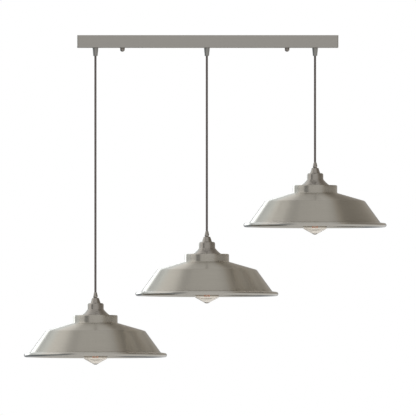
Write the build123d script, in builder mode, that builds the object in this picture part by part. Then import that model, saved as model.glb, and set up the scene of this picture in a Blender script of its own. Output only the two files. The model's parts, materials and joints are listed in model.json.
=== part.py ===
"""Bar pendant light: three stepped dome shades hung at different heights from one ceiling bar.

Millimetres. The origin is on the ceiling plane over the middle of the bar, +X runs along the bar,
-Y faces the viewer and +Z is up.
"""

import os

from build123d import *

os.makedirs("parts", exist_ok=True)

# Bar cover, a sheet tray that is open towards the ceiling
bar_length = 700.0
bar_depth = 60.0
bar_height = 33.5
bar_wall = 1.5
bar_corner_radius = 4.0
bar_edge_radius = 2.0

# Where the three cords leave the bar, from its ends and its middle, and how far below the ceiling
# the shades' lips hang
left_cord_inset = 49.0
middle_cord_x = -2.5
right_cord_inset = 62.7
left_lip_drop = 862.4
middle_lip_drop = 698.4
right_lip_drop = 514.1

# Mounting strap under the ceiling, with the studs that carry the bar cover, placed from the bar's ends
strap_width = 28.0
strap_thickness = 3.0
strap_end_margin = 20.0
strap_end_radius = 5.0
left_stud_inset = 121.3
right_stud_inset = 137.6
slot_spacing = 300.0
slot_length = 20.0
slot_width = 5.5
cable_hole_x = 30.0
cable_hole_radius = 6.5
stud_radius = 2.5
stud_head_radius = 4.6
stud_reach_in_nut = 6.5
stud_locknut_size = 8.0
stud_locknut_height = 4.0

# Ball nuts that hold the cover up on the studs
ball_nut_radius = 6.5
ball_nut_neck = 4.0
ball_nut_bore_depth = 7.5

# Cord and its cores
cord_radius = 3.0
core_radius = 0.95
core_spacing = 2.0
core_ring_radius = 1.6
core_count = 3

# Cord grips under the bar
bar_grip_base_radius = 8.0
bar_grip_mouth_radius = 5.9
bar_grip_length = 22.0
bar_grip_mouth_rounding = 1.2
bar_grip_edge_rounding = 0.4
bar_grip_root_rounding = 0.2
grip_stem_radius = 5.0
grip_stem_spare = 1.5
grip_locknut_size = 15.0
grip_locknut_height = 4.0

# Cord in the bar, and the short length that bends where it leaves its grip
tail_above_stem = 2.0
stub_length = 15.0

# Terminal block under the strap
pole_pitch = 12.0
block_depth = 18.0
block_height = 19.0
block_x = 70.0
tunnel_centre_drop = 9.5
insert_width = 5.4
insert_height = 9.6
insert_length = 12.0
insert_wall = 1.3
terminal_screw_radius = 1.6
terminal_screw_head_radius = 2.4
terminal_screw_head_height = 2.0
terminal_screw_offset = 3.4
strap_screw_radius = 1.5
strap_screw_head_radius = 2.8
strap_screw_head_height = 2.0
strap_screw_top_cover = 0.5
earth_screw_x = -45.0
earth_screw_grip = 3.0

# Lanes in which the cores run along the front of the bar
lane_first_y = -15.5
lane_step_y = 3.0
lane_step_z = 2.5
core_bend_share = 0.45
core_end_cover = 2.0

# Shade, spun from sheet, measured up from the bottom of its rolled lip
shade_wall = 1.2
lip_radius = 191.7
bead_radius = 5.4
bead_sweep = 300.0
skirt_foot_radius = 175.5
skirt_foot_height = 12.3
skirt_foot_rounding = 4.0
knee_radius = 133.5
knee_height = 70.2
knee_rounding = 10.0
collar_radius = 59.5
collar_base_height = 91.6
collar_base_rounding = 2.5
collar_top_height = 112.5
collar_edge_rounding = 3.0

# Bell and stepped cap over the lampholder
bell_radius = 35.0
bell_rim = 1.9
bell_rim_taper = 0.9
bell_height = 16.1
bell_sagitta = 1.1
cap_radius = 21.4
cap_wall = 1.5
cap_height = 16.3
cap_shoulder_rounding = 3.2
tier_base_radius = 13.3
tier_waist_radius = 11.6
tier_waist_height = 7.1
tier_top_radius = 9.2
tier_height = 14.0
tier_top_rounding = 2.0
tier_foot_rounding = 0.6

# Cord grip on the lampholder cap
holder_grip_height = 15.2
holder_grip_foot_radius = 5.6
holder_grip_belly_radius = 6.2
holder_grip_belly_height = 4.1
holder_grip_mouth_radius = 3.9
holder_grip_mouth_slope = 0.25
holder_grip_stem_radius = 4.9
holder_grip_stem_length = 8.0
jacket_below_stem = 3.0

# Lampholder, which hangs in the cap and reaches down through the shade's top
holder_mouth_drop = 17.0
holder_lip_height = 3.0
holder_mouth_radius = 15.0
holder_floor_rise = 10.8
holder_plate_thickness = 8.7
holder_rim_wall = 2.2
holder_rim_gap = 3.9
terminal_hole_depth = 6.0
shell_inner_radius = 13.4
shell_wall = 0.4
shell_end_gap = 2.8
contact_radius = 5.0
contact_thickness = 0.8
ring_flange_radius = 27.0
ring_flange_thickness = 2.0
ring_collar_wall = 2.6
ring_height = 6.0

# Bulb, pear shaped with a pointed end, measured from the lower edge of its screw cap
bulb_contact_gap = 0.5
bulb_length = 117.5
bulb_radius = 32.0
bulb_widest_drop = 91.5
bulb_shoulder_length = 10.0
bulb_shoulder_rounding = 8.0
bulb_tip_flat = 3.0
bulb_tip_rounding = 9.0
bulb_glass_wall = 0.9
bulb_neck_radius = 12.0
bulb_neck_drop = 6.5
bulb_neck_rounding = 25.0
bulb_neck_cover = 9.5
bulb_cap_wall = 0.5
bulb_cap_barrel = 18.0
bulb_cap_cone = 4.2
bulb_cap_top_radius = 7.5
bulb_contact_radius = 4.5
bulb_contact_height = 2.0
stem_flare_thickness = 2.0
stem_radius = 4.0
stem_length = 33.0
stem_rod_radius = 1.4
cage_top_drop = 41.0
cage_length = 68.0
cage_radius = 8.0
cage_disc_thickness = 0.8
filament_radius = 0.4
filament_count = 8

# Clearances
hole_gap = 0.4
thread_gap = 0.15
running_gap = 0.05
swing_gap = 0.3

# Places, heights and radii that follow from these
pendants = {
    "left": (left_cord_inset - bar_length / 2, -left_lip_drop),
    "middle": (middle_cord_x, -middle_lip_drop),
    "right": (bar_length / 2 - right_cord_inset, -right_lip_drop),
}
studs = {"left": left_stud_inset - bar_length / 2, "right": bar_length / 2 - right_stud_inset}
cord_bore_radius = cord_radius + thread_gap
bar_mouth_z = -(bar_height + bar_grip_length)
grip_stem_top = -bar_height + bar_wall + grip_locknut_height + grip_stem_spare
tail_top = grip_stem_top + tail_above_stem
fore_aft_z = bar_mouth_z - swing_gap - cord_radius
stub_bottom = fore_aft_z - stub_length
sideways_z = stub_bottom - swing_gap - cord_radius
block_length = core_count * pole_pitch
tunnel_z = -(strap_thickness + tunnel_centre_drop)
bell_top = collar_top_height + bell_height
cap_top = bell_top + cap_height
tier_top = cap_top + tier_height
holder_radius = cap_radius - cap_wall - thread_gap
holder_mouth_height = collar_top_height - holder_mouth_drop
holder_lip_top = holder_mouth_height + holder_lip_height
holder_floor_height = collar_top_height + holder_floor_rise
holder_plate_top = holder_floor_height + holder_plate_thickness
holder_rim_top = cap_top - cap_wall - holder_rim_gap
jacket_end = tier_top - holder_grip_stem_length - jacket_below_stem
shell_outer_radius = shell_inner_radius + shell_wall
bulb_cap_radius = shell_inner_radius - swing_gap
bulb_contact_top = holder_floor_height - contact_thickness - bulb_contact_gap
bulb_contact_bottom = bulb_contact_top - bulb_contact_height
bulb_cap_top = bulb_contact_bottom - swing_gap
bulb_barrel_top = bulb_cap_top - bulb_cap_cone
bulb_cap_bottom = bulb_barrel_top - bulb_cap_barrel
bulb_neck_top = bulb_cap_bottom + bulb_neck_cover
bulb_neck_bottom = bulb_cap_bottom - bulb_neck_drop
bulb_widest_height = bulb_cap_bottom - bulb_widest_drop
bulb_shoulder_height = bulb_widest_height - bulb_shoulder_length
bulb_tip_height = bulb_cap_bottom - bulb_length
stem_bottom = bulb_neck_top - stem_length
cage_top = bulb_neck_top - cage_top_drop
cage_bottom = cage_top - cage_length


def save(piece, label):
    """Name one finished piece and write it."""
    piece.part.label = label
    export_step(piece.part, f"parts/{label}.step")


def section(x, z):
    """The upright plane through a pendant's axis: its first axis is the radius, its second the height."""
    return Plane(origin=(x, 0, z), x_dir=(1, 0, 0), z_dir=(0, -1, 0))


def upright(x):
    """The vertical axis at x, in the middle of the bar's depth."""
    return Axis((x, 0, 0), (0, 0, 1))


# Bar cover
with BuildPart() as cover:
    with BuildSketch(Plane.XY.offset(-bar_height)):
        RectangleRounded(bar_length, bar_depth, bar_corner_radius)
    extrude(amount=bar_height)
    fillet(cover.edges().group_by(Axis.Z)[0], bar_edge_radius)
    with BuildSketch(Plane.XY.offset(-bar_height + bar_wall)):
        RectangleRounded(
            bar_length - 2 * bar_wall, bar_depth - 2 * bar_wall, bar_corner_radius - bar_wall
        )
    extrude(amount=bar_height, mode=Mode.SUBTRACT)
    with BuildSketch(Plane.XY.offset(-bar_height)):
        with Locations(*[(x, 0) for x, _ in pendants.values()]):
            Circle(grip_stem_radius + hole_gap)
        with Locations(*[(x, 0) for x in studs.values()]):
            Circle(stud_radius + hole_gap)
    extrude(amount=bar_wall, mode=Mode.SUBTRACT)
save(cover, "ceiling_bar_cover")

# Mounting strap, with slots for the ceiling screws and a hole for the supply cable
strap_left = studs["left"] - strap_end_margin
strap_right = studs["right"] + strap_end_margin
strap_screws_x = (block_x - pole_pitch / 2, earth_screw_x)
with BuildPart() as strap:
    with BuildSketch(Plane.XY.offset(-strap_thickness)):
        with Locations(((strap_left + strap_right) / 2, 0)):
            RectangleRounded(strap_right - strap_left, strap_width, strap_end_radius)
        with GridLocations(slot_spacing, 0, 2, 1):
            SlotOverall(slot_length, slot_width, mode=Mode.SUBTRACT)
        with Locations((cable_hole_x, 0)):
            Circle(cable_hole_radius, mode=Mode.SUBTRACT)
    extrude(amount=strap_thickness)
    with Locations(*[(x, 0, 0) for x in studs.values()]):
        CounterSinkHole(stud_radius + running_gap, stud_head_radius + running_gap, counter_sink_angle=90)
    with BuildSketch(Plane.XY.offset(-strap_thickness)):
        with Locations(*[(x, 0) for x in strap_screws_x]):
            Circle(strap_screw_radius + running_gap)
    extrude(amount=strap_thickness - strap_screw_top_cover / 2, mode=Mode.SUBTRACT)
save(strap, "mounting_strap")

# Studs with flush heads, their locknuts, and the ball nuts under the cover
stud_end = -(bar_height + stud_reach_in_nut)
head_depth = stud_head_radius - stud_radius
with BuildPart() as stud_pair:
    for x in studs.values():
        with BuildSketch(section(x, 0)):
            Polygon(
                (0, 0),
                (stud_head_radius - running_gap, 0),
                (stud_radius, -head_depth - running_gap),
                (stud_radius, stud_end),
                (0, stud_end),
                align=None,
            )
        revolve(axis=upright(x))
save(stud_pair, "strap_studs")

with BuildPart() as stud_locknuts:
    with BuildSketch(Plane.XY.offset(-strap_thickness)):
        with Locations(*[(x, 0) for x in studs.values()]):
            RegularPolygon(stud_locknut_size / 2, 6, major_radius=False)
            Circle(stud_radius + running_gap, mode=Mode.SUBTRACT)
    extrude(amount=-stud_locknut_height)
save(stud_locknuts, "stud_locknuts")

nut_top = -(bar_height + 2 * running_gap)
nut_neck_bottom = nut_top - ball_nut_neck
for name, x in studs.items():
    with BuildPart() as ball_nut:
        with BuildSketch(section(x, 0)):
            with BuildLine():
                Polyline(
                    (stud_radius + running_gap, nut_top - ball_nut_bore_depth),
                    (stud_radius + running_gap, nut_top),
                    (ball_nut_radius, nut_top),
                    (ball_nut_radius, nut_neck_bottom),
                )
                CenterArc((0, nut_neck_bottom), ball_nut_radius, 0, -90)
                Polyline(
                    (0, nut_neck_bottom - ball_nut_radius),
                    (0, nut_top - ball_nut_bore_depth),
                    (stud_radius + running_gap, nut_top - ball_nut_bore_depth),
                )
            make_face()
        revolve(axis=upright(x))
    save(ball_nut, f"ball_nut_{name}")

# Terminal block, one tunnel for each pole, screwed up against the strap
poles_x = [block_x + (pole - 1) * pole_pitch for pole in range(core_count)]
block_bottom = -(strap_thickness + block_height)
screw_wells = [(x, y) for x in poles_x for y in (-terminal_screw_offset, terminal_screw_offset)]
with BuildPart() as block:
    with BuildSketch(Plane.XY.offset(block_bottom)):
        with Locations((block_x, 0)):
            Rectangle(block_length, block_depth)
    extrude(amount=block_height)
    with BuildSketch(Plane.XZ.offset(-block_depth / 2)):
        with Locations(*[(x, tunnel_z) for x in poles_x]):
            Rectangle(insert_width + 2 * running_gap, insert_height + 2 * running_gap)
    extrude(amount=block_depth, mode=Mode.SUBTRACT)
    with BuildSketch(Plane.XY.offset(block_bottom)):
        with Locations(*screw_wells):
            Circle(terminal_screw_head_radius + thread_gap)
    extrude(amount=tunnel_z - block_bottom, mode=Mode.SUBTRACT)
    with BuildSketch(Plane.XY.offset(block_bottom)):
        with Locations((strap_screws_x[0], 0)):
            Circle(strap_screw_radius + running_gap)
    extrude(amount=block_height, mode=Mode.SUBTRACT)
save(block, "terminal_block")

with BuildPart() as inserts:
    with BuildSketch(Plane.XZ.offset(-insert_length / 2)):
        with Locations(*[(x, tunnel_z) for x in poles_x]):
            Rectangle(insert_width, insert_height)
            Rectangle(insert_width - 2 * insert_wall, insert_height - 2 * insert_wall, mode=Mode.SUBTRACT)
    extrude(amount=insert_length)
    with BuildSketch(Plane.XY.offset(tunnel_z - insert_height / 2)):
        with Locations(*screw_wells):
            Circle(terminal_screw_radius + running_gap)
    extrude(amount=insert_wall, mode=Mode.SUBTRACT)
save(inserts, "terminal_inserts")

lowest_core_z = tunnel_z - lane_step_z
terminal_screw_tip = lowest_core_z - core_radius - running_gap
terminal_screw_head_top = tunnel_z - insert_height / 2 - running_gap
with BuildPart() as terminal_screws:
    with BuildSketch(Plane.XY.offset(terminal_screw_head_top)):
        with Locations(*screw_wells):
            Circle(terminal_screw_head_radius)
            Rectangle(2 * terminal_screw_head_radius, terminal_screw_radius / 2, mode=Mode.SUBTRACT)
    extrude(amount=-terminal_screw_head_height)
    with BuildSketch(Plane.XY.offset(terminal_screw_head_top - terminal_screw_head_height / 2)):
        with Locations(*screw_wells):
            Circle(terminal_screw_radius)
    extrude(amount=terminal_screw_tip - terminal_screw_head_top + terminal_screw_head_height / 2)
save(terminal_screws, "terminal_screws")

# Two pan head screws in the strap: one carries the terminal block, one is the earth point
strap_screw_heads_z = (block_bottom, -strap_thickness - earth_screw_grip)
with BuildPart() as strap_screws:
    for x, head_z in zip(strap_screws_x, strap_screw_heads_z):
        with BuildSketch(Plane.XY.offset(head_z)):
            with Locations((x, 0)):
                Circle(strap_screw_head_radius)
        extrude(amount=-strap_screw_head_height)
        with BuildSketch(Plane.XY.offset(head_z)):
            with Locations((x, 0)):
                Circle(strap_screw_radius)
        extrude(amount=-strap_screw_top_cover - head_z)
save(strap_screws, "strap_screws")

# Cord grips under the bar, and the locknuts on their stems inside it
for name, (x, _) in pendants.items():
    with BuildPart() as bar_grip:
        with BuildSketch(section(x, 0)):
            with BuildLine():
                FilletPolyline(
                    (cord_bore_radius, grip_stem_top),
                    (grip_stem_radius, grip_stem_top),
                    (grip_stem_radius, -bar_height),
                    (bar_grip_base_radius, -bar_height),
                    (bar_grip_mouth_radius, bar_mouth_z),
                    (cord_bore_radius, bar_mouth_z),
                    radius=[
                        bar_grip_edge_rounding,
                        bar_grip_root_rounding,
                        bar_grip_edge_rounding,
                        bar_grip_mouth_rounding,
                    ],
                )
                Line((cord_bore_radius, bar_mouth_z), (cord_bore_radius, grip_stem_top))
            make_face()
        revolve(axis=upright(x))
    save(bar_grip, f"bar_cord_grip_{name}")

with BuildPart() as grip_locknuts:
    with BuildSketch(Plane.XY.offset(-bar_height + bar_wall)):
        with Locations(*[(x, 0) for x, _ in pendants.values()]):
            RegularPolygon(grip_locknut_size / 2, 6, major_radius=False)
            Circle(grip_stem_radius + running_gap, mode=Mode.SUBTRACT)
    extrude(amount=grip_locknut_height)
save(grip_locknuts, "grip_locknuts")

# Cord ends inside the bar, from the grips' mouths to where the jacket is cut back
with BuildPart() as tails:
    with BuildSketch(Plane.XY.offset(bar_mouth_z)):
        with Locations(*[(x, 0) for x, _ in pendants.values()]):
            Circle(cord_radius)
    extrude(amount=tail_top - bar_mouth_z)
save(tails, "cord_tails")

# Cores from each cord to the terminal block: up, to the front, along the bar, and back into a pole
core_end_y = -insert_length / 2 + core_end_cover
for pole, core_name in enumerate(("live", "neutral", "earth")):
    with BuildPart() as cores:
        for level, (name, (x, _)) in enumerate(pendants.items()):
            heading = 1 if x < block_x else -1
            rank = pole if heading > 0 else core_count - 1 - pole
            start_x = x + heading * (1 - rank) * core_spacing
            lane_y = lane_first_y - rank * lane_step_y
            lane_z = tunnel_z + (level - 1) * lane_step_z
            end_x = poles_x[pole]
            corners = [
                (start_x, 0, tail_top),
                (start_x, 0, lane_z),
                (start_x, lane_y, lane_z),
                (end_x, lane_y, lane_z),
                (end_x, core_end_y, lane_z),
            ]
            runs = [lane_z - tail_top, -lane_y, abs(end_x - start_x), core_end_y - lane_y]
            bends = [core_bend_share * min(pair) for pair in zip(runs, runs[1:])]
            with BuildLine() as route:
                FilletPolyline(*corners, radius=bends)
            with BuildSketch(Plane.XY.offset(tail_top)):
                with Locations((start_x, 0)):
                    Circle(core_radius)
            sweep(path=route.wires()[0])
            length = round(route.wires()[0].length, 1)
            print(core_name, "core of the", name, "cord:", length, "mm, bends", [round(b, 1) for b in bends])
    save(cores, f"{core_name}_cores")

# Hanging pieces, one set for each pendant
for name, (x, lip_z) in pendants.items():
    plane = section(x, lip_z)
    axis = upright(x)

    # Short length of cord that bends where it leaves the bar's grip
    with BuildPart() as stub:
        with BuildSketch(section(x, 0)):
            with BuildLine():
                Polyline(
                    (0, fore_aft_z + cord_radius),
                    (0, stub_bottom),
                    (cord_radius, stub_bottom),
                    (cord_radius, fore_aft_z),
                )
                CenterArc((0, fore_aft_z), cord_radius, 0, 90)
            make_face()
        revolve(axis=axis)
    save(stub, f"cord_stub_{name}")

    # Long length of cord, with its cores bared inside the lampholder cap
    with BuildPart() as cord:
        cord_end = lip_z + jacket_end
        with BuildSketch(section(x, 0)):
            with BuildLine():
                Polyline(
                    (0, sideways_z + cord_radius),
                    (0, cord_end),
                    (cord_radius, cord_end),
                    (cord_radius, sideways_z),
                )
                CenterArc((0, sideways_z), cord_radius, 0, 90)
            make_face()
        revolve(axis=axis)
        with BuildSketch(Plane.XY.offset(cord_end)):
            with Locations((x, 0)):
                with PolarLocations(core_ring_radius, core_count):
                    Circle(core_radius)
        extrude(amount=-(jacket_end - holder_plate_top + terminal_hole_depth - swing_gap))
    save(cord, f"cord_{name}")

    # Cord grip on top of the lampholder cap
    with BuildPart() as holder_grip:
        with BuildSketch(plane):
            with BuildLine():
                Polyline(
                    (cord_bore_radius, tier_top + holder_grip_height),
                    (cord_bore_radius, tier_top - holder_grip_stem_length),
                    (holder_grip_stem_radius, tier_top - holder_grip_stem_length),
                    (holder_grip_stem_radius, tier_top),
                    (holder_grip_foot_radius, tier_top),
                    (holder_grip_belly_radius, tier_top + holder_grip_belly_height),
                )
                Spline(
                    (holder_grip_belly_radius, tier_top + holder_grip_belly_height),
                    (holder_grip_mouth_radius, tier_top + holder_grip_height),
                    tangents=((0, 1), (-holder_grip_mouth_slope, 1)),
                )
                Line(
                    (holder_grip_mouth_radius, tier_top + holder_grip_height),
                    (cord_bore_radius, tier_top + holder_grip_height),
                )
            make_face()
        revolve(axis=axis)
    save(holder_grip, f"holder_cord_grip_{name}")

    # Stepped cap
    with BuildPart() as cap:
        with BuildSketch(plane):
            with BuildLine():
                FilletPolyline(
                    (holder_grip_stem_radius + running_gap, tier_top),
                    (tier_top_radius, tier_top),
                    (tier_waist_radius, cap_top + tier_waist_height),
                    (tier_base_radius, cap_top),
                    (cap_radius, cap_top),
                    (cap_radius, bell_top),
                    radius=[tier_top_rounding, tier_top_rounding, tier_foot_rounding, cap_shoulder_rounding],
                )
                Polyline(
                    (cap_radius, bell_top),
                    (cap_radius - cap_wall, bell_top),
                    (cap_radius - cap_wall, cap_top - cap_wall),
                    (tier_base_radius - cap_wall, cap_top - cap_wall),
                    (tier_top_radius - cap_wall, tier_top - cap_wall),
                    (holder_grip_stem_radius + running_gap, tier_top - cap_wall),
                    (holder_grip_stem_radius + running_gap, tier_top),
                )
            make_face()
        revolve(axis=axis)
    save(cap, f"holder_cap_{name}")

    # Flared bell that presses on the shade's top
    with BuildPart() as bell:
        with BuildSketch(plane):
            with BuildLine():
                flare_foot = (bell_radius - bell_rim_taper, collar_top_height + bell_rim)
                hollow_radius = bell_radius - bell_rim_taper - cap_wall
                SagittaArc((cap_radius, bell_top), flare_foot, bell_sagitta)
                Polyline(
                    flare_foot,
                    (bell_radius, collar_top_height),
                    (hollow_radius, collar_top_height),
                )
                hollow_top = (cap_radius - cap_wall, bell_top)
                SagittaArc((hollow_radius, collar_top_height), hollow_top, -bell_sagitta)
                Line(hollow_top, (cap_radius, bell_top))
            make_face()
        revolve(axis=axis)
    save(bell, f"holder_bell_{name}")

    # Lampholder body, with the cavity for the screw shell and holes for the cores
    with BuildPart() as holder:
        cavity_radius = shell_outer_radius + running_gap
        with BuildSketch(plane):
            Polygon(
                (holder_mouth_radius, holder_mouth_height),
                (holder_radius, holder_mouth_height),
                (holder_radius, holder_rim_top),
                (holder_radius - holder_rim_wall, holder_rim_top),
                (holder_radius - holder_rim_wall, holder_plate_top),
                (0, holder_plate_top),
                (0, holder_floor_height),
                (cavity_radius, holder_floor_height),
                (cavity_radius, holder_lip_top),
                (holder_mouth_radius, holder_lip_top),
                align=None,
            )
        revolve(axis=axis)
        with BuildSketch(Plane.XY.offset(lip_z + holder_plate_top)):
            with Locations((x, 0)):
                with PolarLocations(core_ring_radius, core_count):
                    Circle(core_radius + running_gap)
        extrude(amount=-terminal_hole_depth, mode=Mode.SUBTRACT)
    save(holder, f"lampholder_{name}")

    # Screw shell and centre contact in the lampholder
    with BuildPart() as shell:
        with BuildSketch(Plane.XY.offset(lip_z + holder_lip_top)):
            with Locations((x, 0)):
                Circle(shell_outer_radius)
                Circle(shell_inner_radius, mode=Mode.SUBTRACT)
        extrude(amount=holder_floor_height - shell_end_gap - holder_lip_top)
    save(shell, f"screw_shell_{name}")

    with BuildPart() as contact:
        with BuildSketch(Plane.XY.offset(lip_z + holder_floor_height)):
            with Locations((x, 0)):
                Circle(contact_radius)
        extrude(amount=-contact_thickness)
    save(contact, f"centre_contact_{name}")

    # Shade ring that clamps the shade against the bell
    with BuildPart() as ring:
        ring_top = collar_top_height - shade_wall
        ring_bore = holder_radius + thread_gap
        with BuildSketch(plane):
            Polygon(
                (ring_bore, ring_top),
                (ring_flange_radius, ring_top),
                (ring_flange_radius, ring_top - ring_flange_thickness),
                (ring_bore + ring_collar_wall, ring_top - ring_flange_thickness),
                (ring_bore + ring_collar_wall, ring_top - ring_height),
                (ring_bore, ring_top - ring_height),
                align=None,
            )
        revolve(axis=axis)
    save(ring, f"shade_ring_{name}")

    # Shade with its collar, shoulder, skirt and rolled lip
    with BuildPart() as shade:
        bead_centre_radius = lip_radius - bead_radius
        with BuildSketch(plane):
            with BuildLine():
                FilletPolyline(
                    (holder_radius + hole_gap, collar_top_height),
                    (collar_radius, collar_top_height),
                    (collar_radius, collar_base_height),
                    (knee_radius, knee_height),
                    (skirt_foot_radius, skirt_foot_height),
                    (bead_centre_radius, 2 * bead_radius),
                    radius=[
                        collar_edge_rounding,
                        collar_base_rounding,
                        knee_rounding,
                        skirt_foot_rounding,
                    ],
                )
                CenterArc((bead_centre_radius, bead_radius), bead_radius, 90, -bead_sweep)
                offset(amount=shade_wall, side=Side.RIGHT)
            make_face()
        revolve(axis=axis)
    save(shade, f"shade_{name}")

    # Bulb glass
    with BuildPart() as glass:
        with BuildSketch(plane):
            with BuildLine():
                FilletPolyline(
                    (bulb_neck_radius, bulb_neck_top),
                    (bulb_neck_radius, bulb_neck_bottom),
                    (bulb_radius, bulb_widest_height),
                    (bulb_radius, bulb_shoulder_height),
                    (bulb_tip_flat, bulb_tip_height),
                    (0, bulb_tip_height),
                    radius=[
                        bulb_neck_rounding,
                        bulb_shoulder_rounding,
                        bulb_shoulder_rounding / 2,
                        bulb_tip_rounding,
                    ],
                )
                offset(amount=bulb_glass_wall, side=Side.RIGHT)
            make_face()
        revolve(axis=axis)
    save(glass, f"bulb_glass_{name}")

    # Bulb screw cap, with the solder contact on its end as a piece of its own
    with BuildPart() as bulb_cap:
        with BuildSketch(plane):
            with BuildLine():
                Polyline(
                    (bulb_contact_radius, bulb_cap_top),
                    (bulb_cap_top_radius, bulb_cap_top),
                    (bulb_cap_radius, bulb_barrel_top),
                    (bulb_cap_radius, bulb_cap_bottom),
                )
                offset(amount=bulb_cap_wall, side=Side.RIGHT)
            make_face()
        revolve(axis=axis)
    save(bulb_cap, f"bulb_cap_{name}")

    with BuildPart() as bulb_contact:
        with BuildSketch(Plane.XY.offset(lip_z + bulb_contact_bottom)):
            with Locations((x, 0)):
                Circle(bulb_contact_radius)
        extrude(amount=bulb_contact_height)
        fillet(bulb_contact.edges().group_by(Axis.Z)[-1], bulb_contact_height / 2)
    save(bulb_contact, f"bulb_contact_{name}")

    # Glass stem in the bulb, with the filament cage that it carries
    with BuildPart() as mount:
        flare_radius = bulb_neck_radius - bulb_glass_wall - swing_gap
        flare_bottom = bulb_neck_top - stem_flare_thickness
        with BuildSketch(plane):
            Polygon(
                (0, bulb_neck_top),
                (flare_radius, bulb_neck_top),
                (flare_radius, flare_bottom),
                (stem_radius, flare_bottom - flare_radius + stem_radius),
                (stem_radius, stem_bottom),
                (stem_rod_radius, stem_bottom - stem_radius + stem_rod_radius),
                (stem_rod_radius, cage_bottom),
                (0, cage_bottom),
                align=None,
            )
        revolve(axis=axis)
        for height in (cage_bottom, cage_top):
            with BuildSketch(Plane.XY.offset(lip_z + height)):
                with Locations((x, 0)):
                    Circle(cage_radius + 2 * filament_radius)
            extrude(amount=cage_disc_thickness)
        with BuildSketch(Plane.XY.offset(lip_z + cage_bottom)):
            with Locations((x, 0)):
                with PolarLocations(cage_radius, filament_count):
                    Circle(filament_radius)
        extrude(amount=cage_length)
    save(mount, f"filament_mount_{name}")
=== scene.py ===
import json
import math

import bmesh
import bpy
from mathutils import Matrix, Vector


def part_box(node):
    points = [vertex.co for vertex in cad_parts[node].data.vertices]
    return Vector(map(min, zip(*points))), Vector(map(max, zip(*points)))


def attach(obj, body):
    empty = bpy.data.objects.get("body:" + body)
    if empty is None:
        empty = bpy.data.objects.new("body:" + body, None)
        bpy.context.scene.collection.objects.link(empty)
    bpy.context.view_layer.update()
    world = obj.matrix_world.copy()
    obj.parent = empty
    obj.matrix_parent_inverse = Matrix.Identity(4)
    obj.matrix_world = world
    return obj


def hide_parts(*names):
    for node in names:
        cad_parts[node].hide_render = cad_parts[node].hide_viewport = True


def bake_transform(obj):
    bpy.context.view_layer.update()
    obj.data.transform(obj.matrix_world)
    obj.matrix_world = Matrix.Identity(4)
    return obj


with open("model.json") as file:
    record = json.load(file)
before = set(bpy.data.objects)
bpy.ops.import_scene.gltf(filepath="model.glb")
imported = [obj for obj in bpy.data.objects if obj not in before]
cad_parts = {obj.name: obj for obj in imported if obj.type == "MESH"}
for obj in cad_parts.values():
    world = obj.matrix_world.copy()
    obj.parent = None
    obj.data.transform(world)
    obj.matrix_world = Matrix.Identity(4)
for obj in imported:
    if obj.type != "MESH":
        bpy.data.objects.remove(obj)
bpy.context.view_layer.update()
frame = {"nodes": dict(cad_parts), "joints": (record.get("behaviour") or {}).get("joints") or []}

# All lengths below are in metres. Heights of a pendant's pieces are above the bottom of its shade's lip.
MM = 0.001
SIDES = ("left", "middle", "right")
NUT_SIDES = ("left", "right")

# Photograph: a flat, distant view from one degree below, its width and what stands at its centre
PHOTO_WIDTH = 1.1145
PHOTO_CENTRE = Vector((0.0006, 0.0, -0.4627))
PHOTO_ELEVATION = math.radians(-0.93)
CAMERA_DISTANCE = 3.0
CAMERA_REACH = 50.0
FLOOR_DROP = 2.4
FLOOR_SIZE = 3.0


def middle_of(node):
    """Where a round node's axis stands along the bar, its lowest and its highest height."""
    low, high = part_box(node)
    return (low.x + high.x) / 2, low.z, high.z


# Camera
camera_data = bpy.data.cameras.new("camera")
camera_data.type = "ORTHO"
camera_data.ortho_scale = PHOTO_WIDTH
camera_data.clip_end = CAMERA_REACH
camera = bpy.data.objects.new("camera", camera_data)
bpy.context.scene.collection.objects.link(camera)
towards_camera = Vector((0.0, -math.cos(PHOTO_ELEVATION), math.sin(PHOTO_ELEVATION)))
camera.location = PHOTO_CENTRE + towards_camera * CAMERA_DISTANCE
camera.rotation_mode = "QUATERNION"
camera.rotation_quaternion = (-towards_camera).to_track_quat("-Z", "Y")
bpy.context.scene.camera = camera


# Meshes

NEARLY_STRAIGHT = math.radians(89.5)
SHARPEST_MITRE = 0.5
ON_AXIS = 1e-7
UV_LAYER = "turned"


def new_object(name, vertices, faces, uvs=None, sharp_degrees=35.0, zones=None):
    """A smooth shaded mesh object; uvs holds one list of (u, v) and zones one material for each face."""
    mesh = bpy.data.meshes.new(name)
    mesh.from_pydata(vertices, [], faces)
    if zones is not None:
        mesh.polygons.foreach_set("material_index", zones)
    if uvs is not None:
        layer = mesh.uv_layers.new(name=UV_LAYER)
        layer.data.foreach_set("uv", [c for face in uvs for uv in face for c in uv])
    mesh.validate()
    shell = bmesh.new()
    shell.from_mesh(mesh)
    bmesh.ops.recalc_face_normals(shell, faces=shell.faces)
    shell.to_mesh(mesh)
    shell.free()
    mesh.shade_smooth()
    mesh.set_sharp_from_angle(angle=math.radians(sharp_degrees))
    made = bpy.data.objects.new(name, mesh)
    bpy.context.scene.collection.objects.link(made)
    return made


def rounded(points, radii, steps=8):
    """An outline through points whose inner corners are rounded, with one radius for each of them."""
    outline = [Vector(points[0])]
    for before, corner, after, radius in zip(points, points[1:], points[2:], radii):
        corner = Vector(corner)
        to_before = (Vector(before) - corner).normalized()
        to_after = (Vector(after) - corner).normalized()
        half_angle = to_before.angle(to_after) / 2
        if radius <= 0 or half_angle > NEARLY_STRAIGHT:
            outline.append(corner)
            continue
        reach = radius / math.tan(half_angle)
        bisector = (to_before + to_after).normalized()
        centre = corner + bisector * (radius / math.sin(half_angle))
        first = corner + to_before * reach - centre
        turn = first.angle_signed(corner + to_after * reach - centre)
        for step in range(steps + 1):
            angle = turn * step / steps
            spoke = Vector((
                first.x * math.cos(angle) + first.y * math.sin(angle),
                -first.x * math.sin(angle) + first.y * math.cos(angle),
            ))
            outline.append(centre + spoke)
    outline.append(Vector(points[-1]))
    return outline


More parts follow.
